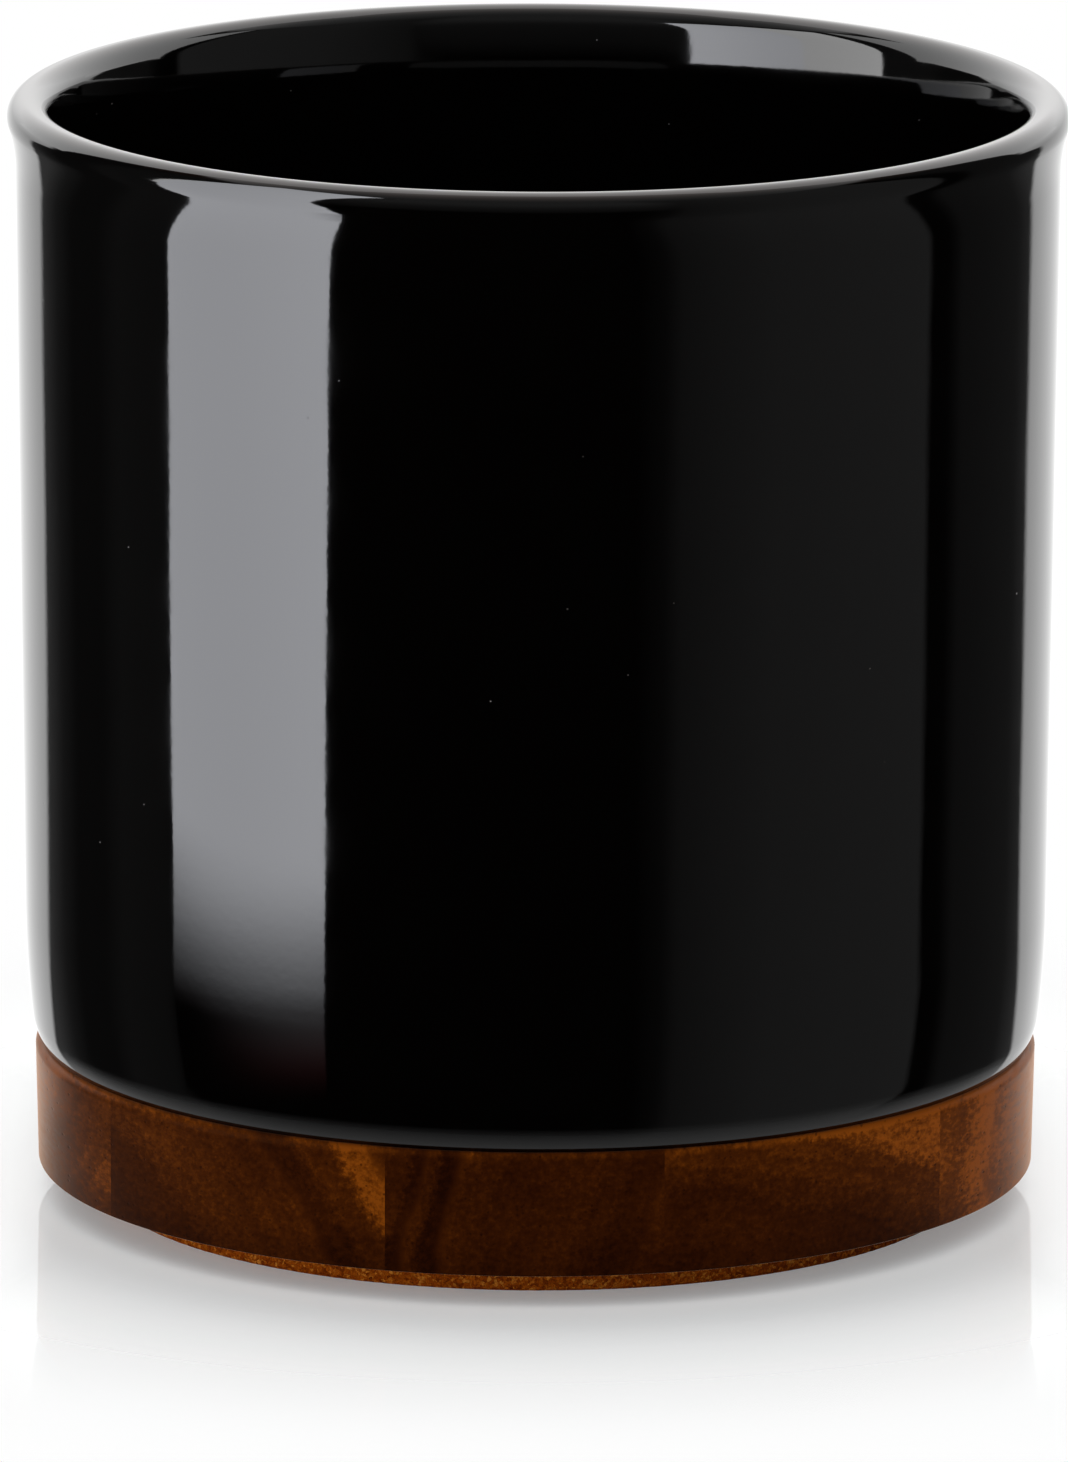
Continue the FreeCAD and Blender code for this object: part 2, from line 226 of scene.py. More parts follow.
def surface(tree, **inputs):
    """End a material in a principled shader with these inputs, their spaces written as underscores."""
    named = {name.replace("_", " "): value for name, value in inputs.items()}
    shader = tree.add("ShaderNodeBsdfPrincipled", named)
    tree.add("ShaderNodeOutputMaterial", {"Surface": shader.outputs[0]})


# Glaze: the scales of its noise and cells are counts in a metre
GLAZE_TONES = ((0.0004, 0.0003, 0.0003), (0.0009, 0.0007, 0.0006))
GLAZE_THIN = (0.018, 0.009, 0.006)
GLAZE_THIN_BAND = 1.2 * MM
GLAZE_MOTTLE_SCALE = 90.0
GLAZE_MOTTLE_SPREAD = (0.3, 0.7)
GLAZE_ROUGHNESS = (0.035, 0.065)
GLAZE_WAVE_SCALE = 38.0
GLAZE_WAVE_DEPTH = 0.25 * MM
GLAZE_SKIN_SCALE = 650.0
GLAZE_SKIN_DEPTH = 0.01 * MM
PIT_COLOUR = (0.12, 0.11, 0.10)
PIT_SCALE = 420.0
PIT_SIZE = 0.08
PIT_RARITY = 0.975
PIT_DEPTH = 0.15 * MM


def glaze_material():
    """Black stoneware glaze: glassy, a little wavy, finely pitted, and brown where it is thin on the lip."""
    material, tree = new_material("black_glaze")
    place = tree.object_place()
    height = tree.split(place)[2]
    thin = tree.fade(height, CROCK_HIGH.z - GLAZE_THIN_BAND, CROCK_HIGH.z)
    mottle = tree.noise(place, GLAZE_MOTTLE_SCALE, detail=3.0, roughness=0.6).outputs[0]
    pits = tree.cells(place, PIT_SCALE)
    hollow = tree.fade(pits.outputs["Distance"], 0.0, PIT_SIZE, 1.0, 0.0)
    rare = tree.math("GREATER_THAN", tree.split(pits.outputs["Color"])[0], PIT_RARITY)
    pit = tree.math("MULTIPLY", hollow, rare)
    colour = tree.mix(thin, tree.mix(mottle, *GLAZE_TONES), GLAZE_THIN)
    speck = tree.mix(pit, colour, PIT_COLOUR)
    roughness = tree.fade(mottle, *GLAZE_MOTTLE_SPREAD, *GLAZE_ROUGHNESS)
    wave = tree.noise(place, GLAZE_WAVE_SCALE, detail=1.0, roughness=0.4).outputs[0]
    skin = tree.noise(place, GLAZE_SKIN_SCALE).outputs[0]
    waves = tree.bump(wave, GLAZE_WAVE_DEPTH, strength=0.25)
    skinned = tree.bump(skin, GLAZE_SKIN_DEPTH, strength=0.3, normal=waves)
    pitted = tree.bump(pit, -PIT_DEPTH, strength=0.6, normal=skinned)
    surface(tree, Base_Color=speck, Roughness=roughness, IOR=1.5, Normal=pitted)
    return material


CLAY_SHADES = ((0.3, (0.30, 0.23, 0.17)), (0.7, (0.52, 0.44, 0.35)))
CLAY_GRAIN_SCALE = 900.0
CLAY_GRAIN_SPREAD = (0.2, 0.8)
CLAY_GRAIN_DEPTH = 0.08 * MM
CLAY_ROUGHNESS = (0.75, 0.95)
CLAY_BLOTCH = (0.33, 0.22, 0.14)
CLAY_BLOTCH_SCALE = 60.0
CLAY_BLOTCH_SPREAD = (0.45, 0.75)
CLAY_BLOTCH_SHARE = 0.35


def clay_material():
    """Bare fired clay of the foot ring, where the glaze is wiped off."""
    material, tree = new_material("bare_clay")
    place = tree.object_place()
    grain = tree.noise(place, CLAY_GRAIN_SCALE, detail=4.0, roughness=0.65).outputs[0]
    blotch = tree.noise(place, CLAY_BLOTCH_SCALE).outputs[0]
    blotch_share = tree.fade(blotch, *CLAY_BLOTCH_SPREAD, 0.0, CLAY_BLOTCH_SHARE)
    colour = tree.mix(blotch_share, tree.ramp(grain, CLAY_SHADES), CLAY_BLOTCH)
    roughness = tree.fade(grain, *CLAY_GRAIN_SPREAD, *CLAY_ROUGHNESS)
    grained = tree.bump(grain, CLAY_GRAIN_DEPTH, strength=0.6)
    surface(tree, Base_Color=colour, Roughness=roughness, Normal=grained)
    return material


# Each stave: where the heart of its tree lay, across and up, how light the strip is, how many metres along
# the grain its pattern starts, and its streaks. A streak is a ring radius, half a width, the softness of its
# edges and how much lighter or darker it is. Hearts and streaks are in millimetres.
STAVES = (
    {"heart": (-128.0, 40.0), "lift": 0.76, "seed": 3.1,
     "streaks": ((62.0, 3.0, 3.2, -0.10), (50.0, 4.0, 3.2, 0.10))},
    {"heart": (-100.6, -28.0), "lift": 0.49, "seed": 7.7,
     "streaks": ((55.0, 4.0, 3.2, -0.04), (66.0, 4.0, 3.2, 0.07), (79.6, 1.0, 2.4, -0.22),
                 (90.0, 1.6, 3.0, 0.40))},
    {"heart": (78.0, -6.0), "lift": 0.43, "seed": 12.4,
     "streaks": ((69.5, 2.0, 4.0, -0.12), (86.2, 2.0, 4.0, -0.04), (94.0, 1.0, 2.0, 0.06),
                 (97.2, 0.6, 1.4, -0.32), (101.8, 0.5, 1.2, -0.20))},
    {"heart": (23.0, -40.0), "lift": 0.36, "seed": 18.9,
     "streaks": ((58.0, 1.0, 2.0, -0.05), (67.5, 1.0, 1.5, -0.08), (90.0, 14.0, 22.0, 0.50))},
    {"heart": (10.0, 20.0), "lift": 0.97, "seed": 24.2,
     "streaks": ((57.0, 2.0, 4.0, -0.22), (66.0, 1.0, 2.0, -0.08))},
)
WOOD_TONES = ((0.0, (0.009, 0.0015, 0.0003)), (0.2, (0.0165, 0.0030, 0.0004)),
              (0.4, (0.0265, 0.0052, 0.0005)), (0.6, (0.044, 0.0092, 0.0007)),
              (0.8, (0.082, 0.0182, 0.0011)), (1.0, (0.180, 0.0430, 0.0028)))
WOOD_STRETCH = (1.0, 0.12, 1.0)
WOOD_WARP = 7.0 * MM
WOOD_WARP_SCALE = 55.0
WOOD_CLOUD_SCALE = 75.0
WOOD_SHARES = (0.20, 0.60, 0.80)
WOOD_ROUGHNESS = (0.32, 0.46)
RING_SPACING = 2.6 * MM
FIBRE_STRETCH = (1.0, 0.05, 1.0)
FIBRE_STRAY = 2.4 * MM
FIBRE_SCALE = 1150.0
FIBRE_SPREAD = (0.3, 0.8)
FIBRE_DEPTH = 0.03 * MM
PORE_SCALE = 1100.0
PORE_EDGE = (0.12, 0.30)
PORE_OPEN = (0.6, 0.8)
PORE_DEPTH = 0.05 * MM
PORE_SHARE = 0.55
WOOD_GLEAM = (1.0, 0.45, 0.12, 1.0)
WOOD_SHEEN = (1.0, 0.64, 0.45, 1.0)
WOOD_TOP_PAINTED_HIGHLIGHT = 0.30
WOOD_TOP_HIGHLIGHT_BAND = 2.2 * MM
WOOD_FOOT_PAINTED_SHADE = -0.10
WOOD_FOOT_SHADE_BAND = 8.0 * MM


def painted_top_highlight_and_foot_shade(tree, spot):
    """How much lighter the wood is painted along its top edge, a painted highlight for light from above, and
    how much darker towards its foot, painted shade near the floor.
    """
    x, y, height = tree.split(spot)
    reach = tree.math("SQRT", tree.math("ADD", tree.math("MULTIPLY", x, x), tree.math("MULTIPLY", y, y)))
    # Painted highlight: the top round of the wood lighter, as if lit from above
    outer = tree.fade(reach, BASE_RADIUS - WOOD_TOP_HIGHLIGHT_BAND, BASE_RADIUS - 0.5 * WOOD_TOP_HIGHLIGHT_BAND)
    top = tree.fade(height, BASE_HIGH - 0.6 * WOOD_TOP_HIGHLIGHT_BAND, BASE_HIGH, 0.0, WOOD_TOP_PAINTED_HIGHLIGHT)
    # Painted shade: the wood darker towards its foot, where the floor shades it
    foot = tree.fade(height, BASE_LOW, BASE_LOW + WOOD_FOOT_SHADE_BAND, WOOD_FOOT_PAINTED_SHADE, 0.0)
    return tree.math("MULTIPLY_ADD", outer, top, foot)


def ring_radius(tree, along, fibre, heart):
    """The distance from the heart of the tree, bent by wavy growth and by the stray of the fibres."""
    wander = tree.noise(along, WOOD_WARP_SCALE, detail=3.0, roughness=0.55).outputs[1]
    shift = tree.vector("SUBTRACT", wander, (NOISE_MEAN,) * 3)
    bent = tree.split(tree.vector("ADD", along, tree.vector("MULTIPLY", shift, (WOOD_WARP,) * 3)))
    across = tree.math("SUBTRACT", bent[0], heart[0] * MM)
    up = tree.math("SUBTRACT", bent[2], heart[1] * MM)
    square = tree.math("ADD", tree.math("MULTIPLY", across, across), tree.math("MULTIPLY", up, up))
    return tree.math("MULTIPLY_ADD", fibre, FIBRE_STRAY, tree.math("SQRT", square))


def grain_tone(tree, along, fibre, radius, lift, streaks):
    """How light the wood is: its rings, clouds, fibres and the stave's own streaks."""
    rings = tree.line_noise(radius, 1.0 / RING_SPACING, roughness=0.6)
    cloud = tree.noise(along, WOOD_CLOUD_SCALE, detail=4.0, roughness=0.6).outputs[0]
    tone = lift - NOISE_MEAN * sum(WOOD_SHARES)
    for part, share in zip((rings, cloud, fibre), WOOD_SHARES):
        tone = tree.math("MULTIPLY_ADD", part, share, tone)
    for middle, half, soft, strength in streaks:
        streak = tree.band(radius, (middle - half) * MM, (middle + half) * MM, soft * MM)
        tone = tree.math("MULTIPLY_ADD", streak, strength, tone)
    return tone


def wood_material(number, heart, lift, seed, streaks):
    """Oiled dark hardwood: growth rings round the heart of the tree, streaks, and pores along the grain."""
    material, tree = new_material(f"base_wood_{number}")
    spot = tree.object_place()
    place = tree.vector("ADD", spot, (0.0, seed, 0.0))
    along = tree.vector("MULTIPLY", place, WOOD_STRETCH)
    thread = tree.vector("MULTIPLY", place, FIBRE_STRETCH)
    fibre = tree.noise(thread, FIBRE_SCALE, detail=3.0, roughness=0.65).outputs[0]
    radius = ring_radius(tree, along, fibre, heart)
    tone = grain_tone(tree, along, fibre, radius, lift, streaks)
    # The tone carries a painted highlight on the top edge and painted shade towards the foot
    colour = tree.ramp(tree.math("ADD", tone, painted_top_highlight_and_foot_shade(tree, spot)), WOOD_TONES)
    pores = tree.cells(thread, PORE_SCALE)
    pore = tree.fade(pores.outputs["Distance"], *PORE_EDGE, 1.0, 0.0)
    is_open = tree.fade(tree.split(pores.outputs["Color"])[0], *PORE_OPEN)
    open_pore = tree.math("MULTIPLY", pore, is_open)
    colour = tree.mix(tree.math("MULTIPLY", open_pore, PORE_SHARE), colour, WOOD_TONES[0][1])
    grain = tree.bump(fibre, FIBRE_DEPTH, strength=0.35)
    pitted = tree.bump(open_pore, -PORE_DEPTH, strength=0.4, normal=grain)
    roughness = tree.fade(fibre, *FIBRE_SPREAD, *WOOD_ROUGHNESS)
    surface(tree, Base_Color=colour, Roughness=roughness, IOR=1.45, Specular_IOR_Level=0.03,
            Specular_Tint=WOOD_GLEAM, Sheen_Weight=1.0, Sheen_Roughness=0.24, Sheen_Tint=WOOD_SHEEN,
            Normal=pitted)
    return material


CORK_SHADES = ((0.0, (0.24, 0.040, 0.0018)), (0.35, (0.46, 0.088, 0.003)),
               (0.75, (0.62, 0.145, 0.007)), (1.0, (0.90, 0.32, 0.040)))
CORK_BINDER = (0.24, 0.040, 0.0018)
CORK_BARK = (0.020, 0.004, 0.0004)
CORK_PAINTED_SHADE = (0.36, 0.34, 0.36)
CORK_PAINTED_SHADE_FROM, CORK_PAINTED_SHADE_TO = -50.0 * MM, 60.0 * MM
CORK_GRAIN_DEPTH = 0.18 * MM
CORK_ROUGHNESS = (0.78, 0.95)
GRANULE_SCALE = 1800.0
GRANULE_JITTER = 0.8 * MM
GRANULE_JITTER_SCALE = 900.0
GRANULE_DOME = 0.25
CRUMB_SCALE = 2200.0
CRUMB_SPREAD = (0.2, 0.8)
CRUMB_SHADE = 0.9
CRUMB_HEIGHT = 0.5
BINDER_WIDTH = 0.15
BINDER_SHARE = 0.35
FLECK_SCALE = 420.0
FLECK_EDGE = (0.12, 0.28)
FLECK_SHARE = 0.7
FLECK_RARITY = 0.85


def cork_material():
    """Pressed cork: small tan granules in a darker binder, with bark flecks, and painted shade that darkens
    it towards +X.
    """
    material, tree = new_material("cork")
    place = tree.object_place()
    jitter = tree.noise(place, GRANULE_JITTER_SCALE).outputs[1]
    shaken = tree.vector("ADD", place, tree.vector("MULTIPLY", jitter, (GRANULE_JITTER,) * 3))
    granules = tree.cells(shaken, GRANULE_SCALE)
    edges = tree.cells(shaken, GRANULE_SCALE, "DISTANCE_TO_EDGE")
    crumb = tree.noise(place, CRUMB_SCALE, detail=4.0, roughness=0.65).outputs[0]
    shade = tree.math("MULTIPLY_ADD", crumb, CRUMB_SHADE, tree.split(granules.outputs["Color"])[0])
    colour = tree.ramp(tree.math("SUBTRACT", shade, CRUMB_SHADE * NOISE_MEAN), CORK_SHADES)
    binder = tree.fade(edges.outputs["Distance"], 0.0, BINDER_WIDTH, BINDER_SHARE, 0.0)
    colour = tree.mix(binder, colour, CORK_BINDER)
    flecks = tree.cells(place, FLECK_SCALE)
    fleck = tree.fade(flecks.outputs["Distance"], *FLECK_EDGE, FLECK_SHARE, 0.0)
    rare = tree.math("GREATER_THAN", tree.split(flecks.outputs["Color"])[1], FLECK_RARITY)
    colour = tree.mix(tree.math("MULTIPLY", fleck, rare), colour, CORK_BARK)
    # Painted shade: the cork darker towards +X, the side away from the light
    painted_side_shade = tree.fade(tree.split(place)[0], CORK_PAINTED_SHADE_FROM, CORK_PAINTED_SHADE_TO)
    colour = tree.mix(painted_side_shade, colour, CORK_PAINTED_SHADE, "MULTIPLY")
    dome = tree.fade(edges.outputs["Distance"], 0.0, GRANULE_DOME)
    height = tree.math("MULTIPLY_ADD", crumb, CRUMB_HEIGHT, dome)
    roughness = tree.fade(crumb, *CRUMB_SPREAD, *CORK_ROUGHNESS)
    grained = tree.bump(height, CORK_GRAIN_DEPTH, strength=0.7)
    surface(tree, Base_Color=colour, Roughness=roughness, IOR=1.45, Specular_IOR_Level=0.05, Normal=grained)
    return material


def arc(centre, radius, first, last):
    """Points of an arc in a section, from one angle to another, anticlockwise if the last is larger."""
    turn = abs(last - first)
    count = max(math.ceil(turn / ARC_STEP), math.ceil(turn * radius / LONG_ARC_STEP))
    angles = [first + (last - first) * step / count for step in range(count + 1)]
    return [(centre[0] + radius * math.cos(a), centre[1] + radius * math.sin(a)) for a in angles]


def straight(start, end, step):
    """Points of a straight stretch, both ends included."""
    count = max(1, math.ceil(math.dist(start, end) / step))
    return [tuple(a + (b - a) * i / count for a, b in zip(start, end)) for i in range(count + 1)]


def joined(*stretches):
    """One section from its stretches, without the points that two stretches share."""
    points = []
    for stretch in stretches:
        for point in stretch:
            if not points or math.dist(point, points[-1]) > SAME_POINT:
                points.append(point)
    return points


def wall_line():
    """The straight taper of the pot's outside: its foot, and the lean of the wall from upright."""
    foot = (RIM_RADIUS - LIP_OVERHANG - WALL_TAPER, CROCK_LOW.z + SWEEP_HEIGHT)
    lean = 0.0
    for _ in range(LEAN_STEPS):
        top = neck_centre(lean)[1] + NECK_ROUND * math.sin(lean)
        lean = math.atan2(WALL_TAPER, top - foot[1])
    return foot, lean


def neck_centre(lean):
    """The middle of the neck's hollow round, which touches the wall's top and the round of the lip."""
    radius = RIM_RADIUS - LIP_OVERHANG + NECK_ROUND * math.cos(lean)
    drop = math.sqrt((NECK_ROUND + LIP_ROUND) ** 2 - (radius - CREST_RADIUS) ** 2)
    return radius, CROCK_HIGH.z - LIP_ROUND - drop


def heel_section(foot, lean):
    """The pot's underside: foot ring, shoulder, heel and the sweep up to the foot of the wall."""
    low = CROCK_LOW.z
    shoulder = BASE_HIGH
    ring_out = BASE_RADIUS - SEAT_LEDGE - SEAT_CLEARANCE
    ring_in = ring_out - FOOT_WIDTH
    edge = FOOT_EDGE_ROUND
    sweep = (foot[0] - SWEEP_ROUND * math.cos(lean), foot[1] + SWEEP_ROUND * math.sin(lean))
    curl = (foot[0] - HEEL_INSET, shoulder + HEEL_EDGE_ROUND)
    span = math.dist(sweep, curl)
    near, far = HEEL_ROUND - HEEL_EDGE_ROUND, SWEEP_ROUND - HEEL_ROUND
    fall = math.acos((far ** 2 + span ** 2 - near ** 2) / (2.0 * far * span))
    fall += math.atan2(curl[1] - sweep[1], curl[0] - sweep[0])
    heel = (sweep[0] + far * math.cos(fall), sweep[1] + far * math.sin(fall))
    turn = math.atan2(curl[1] - heel[1], curl[0] - heel[0])
    return joined(
        straight((0.0, low + FOOT_RECESS), (ring_in, low + FOOT_RECESS), WALL_STEP),
        arc((ring_in + edge, low + edge), edge, math.pi, 1.5 * math.pi),
        arc((ring_out - edge, low + edge), edge, -0.5 * math.pi, 0.0),
        straight((ring_out, low + edge), (ring_out, shoulder), WALL_STEP),
        straight((ring_out, shoulder), (curl[0], shoulder), WALL_STEP),
        arc(curl, HEEL_EDGE_ROUND, -0.5 * math.pi, turn),
        arc(heel, HEEL_ROUND, turn, fall),
        arc(sweep, SWEEP_ROUND, fall, -lean),
    )


def flare_centre(lean):
    """The middle of the long round that runs from the lip's inner round into the inside of the wall."""
    radius = INNER_RADIUS + FLARE_ROUND * math.cos(lean)
    drop = math.sqrt((FLARE_ROUND - LIP_INNER_ROUND) ** 2 - (radius - CREST_RADIUS) ** 2)
    return radius, CROCK_HIGH.z - LIP_INNER_ROUND - drop


def lip_section(foot, lean):
    """The wall, the neck, the rolled lip and the flare inside it."""
    crest = (CREST_RADIUS, CROCK_HIGH.z - LIP_ROUND)
    inner = (CREST_RADIUS, CROCK_HIGH.z - LIP_INNER_ROUND)
    neck, flare = neck_centre(lean), flare_centre(lean)
    swell = math.atan2(neck[1] - crest[1], neck[0] - crest[0])
    opening = math.atan2(inner[1] - flare[1], flare[0] - inner[0])
    neck_edge = arc(neck, NECK_ROUND, math.pi - lean, math.pi + swell)
    return joined(
        straight(foot, neck_edge[0], WALL_STEP),
        neck_edge,
        arc(crest, LIP_ROUND, swell, 0.5 * math.pi),
        arc(inner, LIP_INNER_ROUND, 0.5 * math.pi, math.pi - opening),
        arc(flare, FLARE_ROUND, math.pi - opening, math.pi - lean),
    )


def inside_section(lean):
    """The inside of the pot, down the wall, round the corner and across the floor."""
    flare = flare_centre(lean)
    top = (INNER_RADIUS, flare[1] + FLARE_ROUND * math.sin(lean))
    floor = CROCK_LOW.z + FOOT_RECESS + FLOOR_THICKNESS
    fall = top[1] - floor - FLOOR_CORNER_ROUND * (1.0 - math.sin(lean))
    bottom = (top[0] - fall * math.tan(lean), top[1] - fall)
    corner = (bottom[0] - FLOOR_CORNER_ROUND * math.cos(lean), floor + FLOOR_CORNER_ROUND)
    return joined(
        straight(top, bottom, WALL_STEP),
        arc(corner, FLOOR_CORNER_ROUND, -lean, -0.5 * math.pi),
        straight((corner[0], floor), (0.0, floor), WALL_STEP),
    )


def turned_mesh(name, section, steps):
    """A closed mesh turned about Z from a section whose two ends lie on the axis."""
    mesh = bpy.data.meshes.new(name)
    body = bmesh.new()
    turns = [2.0 * math.pi * step / steps for step in range(steps)]
    rings = []
    for radius, height in section:
        circle = [(radius * math.cos(turn), radius * math.sin(turn), height) for turn in turns]
        points = circle if radius > ON_AXIS else [(0.0, 0.0, height)]
        rings.append([body.verts.new(point) for point in points])
    for low, high in zip(rings, rings[1:]):
        for step in range(steps):
            after = (step + 1) % steps
            lower = [low[step % len(low)], low[after % len(low)]]
            upper = [high[after % len(high)], high[step % len(high)]]
            body.faces.new(list(dict.fromkeys(lower + upper)))
    bmesh.ops.recalc_face_normals(body, faces=body.faces)
    body.to_mesh(mesh)
    body.free()
    return mesh


def add_piece(name, mesh, body, nodes, materials):
    """Put a mesh into the scene as a smooth-shaded piece that rides a body and stands for its nodes."""
    for polygon in mesh.polygons:
        polygon.use_smooth = True
    mesh.set_sharp_from_angle(angle=SHARP_ANGLE)
    for material in materials:
        mesh.materials.append(material)
    piece = bpy.data.objects.new(name, mesh)
    bpy.context.scene.collection.objects.link(piece)
    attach(piece, body)
    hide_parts(*nodes)


def push_in(vertex, depth):
    """Move a vertex this far towards the axis."""
    radius = math.hypot(vertex.co.x, vertex.co.y)
    vertex.co.x -= depth * vertex.co.x / radius
    vertex.co.y -= depth * vertex.co.y / radius


POT_WAVE = 0.035 * MM
POT_WAVE_LENGTH = 28.0 * MM
POT_WAVE_TOP_GAP = 25.0 * MM
POT_WAVE_LOW = CROCK_LOW.z + SWEEP_HEIGHT
POT_WAVE_HIGH = CROCK_HIGH.z - POT_WAVE_TOP_GAP


def make_crock():
    """The pot, turned from the solid's section, with the faint waviness of a glazed wall."""
    foot, lean = wall_line()
    section = joined(heel_section(foot, lean), lip_section(foot, lean), inside_section(lean))
    mesh = turned_mesh("crock_glazed", section, POT_STEPS)
    for vertex in mesh.vertices:
        if POT_WAVE_LOW < vertex.co.z < POT_WAVE_HIGH:
            push_in(vertex, POT_WAVE * noise.noise(vertex.co / POT_WAVE_LENGTH))
    materials = [glaze_material(), clay_material()]
    add_piece("crock_glazed", mesh, "crock", ["crock"], materials)
    clay = len(materials) - 1
    for polygon in mesh.polygons:
        if polygon.center.z < CROCK_LOW.z + FOOT_RECESS:
            polygon.material_index = clay


def base_section():
    """The wood base: flat underside, small edge rounds, flared side, and the seat of the foot ring."""
    foot, seat = BASE_RADIUS - BASE_DRAFT, BASE_RADIUS - SEAT_LEDGE
    foot_round = (foot - BASE_FOOT_ROUND, BASE_LOW + BASE_FOOT_ROUND)
    top_round = (BASE_RADIUS - BASE_TOP_ROUND, BASE_HIGH - BASE_TOP_ROUND)
    seat_height = BASE_HIGH - SEAT_DEPTH
    return joined(
        straight((0.0, BASE_LOW), (foot_round[0], BASE_LOW), BASE_FLAT_STEP),
        arc(foot_round, BASE_FOOT_ROUND, -0.5 * math.pi, 0.0),
        straight((foot, foot_round[1]), (BASE_RADIUS, top_round[1]), WALL_STEP),
        arc(top_round, BASE_TOP_ROUND, 0.0, 0.5 * math.pi),
        straight((top_round[0], BASE_HIGH), (seat, BASE_HIGH), BASE_LEDGE_STEP),
        straight((seat, BASE_HIGH), (seat, seat_height), WALL_STEP),
        straight((seat, seat_height), (0.0, seat_height), BASE_FLAT_STEP),
    )


def cut_strip(mesh, left, right):
    """Keep only the part of a mesh between two glue lines, with the sawn faces closed."""
    body = bmesh.new()
    body.from_mesh(mesh)
    for place, away in ((left, -1.0), (right, 1.0)):
        if place is None:
            continue
        geometry = body.verts[:] + body.edges[:] + body.faces[:]
        cut = bmesh.ops.bisect_plane(body, geom=geometry, dist=SAME_POINT, plane_co=(place, 0.0, 0.0),
                                     plane_no=(away, 0.0, 0.0), clear_outer=True)
        rim = [item for item in cut["geom_cut"] if isinstance(item, bmesh.types.BMEdge)]
        bmesh.ops.edgeloop_fill(body, edges=rim)
    bmesh.ops.recalc_face_normals(body, faces=body.faces)
    strip = bpy.data.meshes.new("strip")
    body.to_mesh(strip)
    body.free()
    return strip


def make_staves():
    """The base, turned whole and then parted along its glue lines into strips of different wood."""
    whole = turned_mesh("base_whole", base_section(), BASE_STEPS)
    edges = [None, *GLUE_LINES, None]
    for number, (name, left, right) in enumerate(zip(STAVE_NAMES, edges, edges[1:])):
        strip = cut_strip(whole, left, right)
        strip.name = name + "_wood"
        material = wood_material(number + 1, **STAVES[number])
        add_piece(name + "_wood", strip, "base", [name], [material])
    bpy.data.meshes.remove(whole)


CORK_CRUMB = 0.22 * MM
CORK_CRUMB_LENGTH = 1.3 * MM
CORK_CRUMB_INSET = 1.0 * MM


def make_cork():
    """The cork pad, with a crumbly cut edge."""
    edge, low, high = CORK_RADIUS, CORK_LOW.z, CORK_HIGH.z
    round_centre = (edge - CORK_EDGE_ROUND, low + CORK_EDGE_ROUND)
    section = joined(
        straight((0.0, low), (edge - CORK_EDGE_ROUND, low), CORK_FOOT_STEP),
        arc(round_centre, CORK_EDGE_ROUND, -0.5 * math.pi, 0.0),
        straight((edge, low + CORK_EDGE_ROUND), (edge, high), CORK_EDGE_STEP),
        straight((edge, high), (0.0, high), CORK_TOP_STEP),
    )
    mesh = turned_mesh("cork_pad_granules", section, CORK_STEPS)
    for vertex in mesh.vertices:
        if math.hypot(vertex.co.x, vertex.co.y) > edge - CORK_EDGE_ROUND - CORK_CRUMB_INSET:
            crumb = 0.5 + 0.5 * noise.noise(vertex.co / CORK_CRUMB_LENGTH)
            push_in(vertex, CORK_CRUMB * crumb)
    add_piece("cork_pad_granules", mesh, "base", ["cork_pad"], [cork_material()])


def stepped(tree, value, stops):
    """A value that goes in straight runs through (place, level) stops."""
    (place, level), rest = stops[0], stops[1:]
    result = level
    for next_place, next_level in rest:
        limits = {"Value": value, "From Min": place, "From Max": next_place, "To Min": 0.0,
                  "To Max": next_level - level}
        run = tree.add("ShaderNodeMapRange", limits).outputs[0]
        result = tree.math("ADD", run, result)
        place, level = next_place, next_level
    return result


# Floor: distances from the axis, or to either side, in metres, and the share of each look there
FLOOR_RADIUS = 0.2
FLOOR_STEPS = 128
FLOOR_DEPTH = 0.05 * MM
FLOOR_COLOUR = (0.955, 0.97, 0.975, 1.0)
FLOOR_GLOSS = 0.09
FLOOR_GLOSS_TO = (0.11, 0.165)
FLOOR_CLEAR = ((0.060, 1.0), (0.068, 0.0), (0.075, 0.0), (0.0883, 0.16), (0.1015, 0.5),
               (0.1148, 0.84), (0.128, 1.0))
FLOOR_SEEN_CLEAR = ((0.080, 0.0), (0.092, 0.07), (0.107, 0.46), (0.121, 0.70), (0.150, 0.85), (0.20, 1.0))
FLOOR_ASIDE = (0.074, 0.087)
FLOOR_ASIDE_CLEAR = 0.55
FLOOR_PAINTED_GLOW = 0.2
FLOOR_PAINTED_GLOW_TO = (0.070, 0.088)


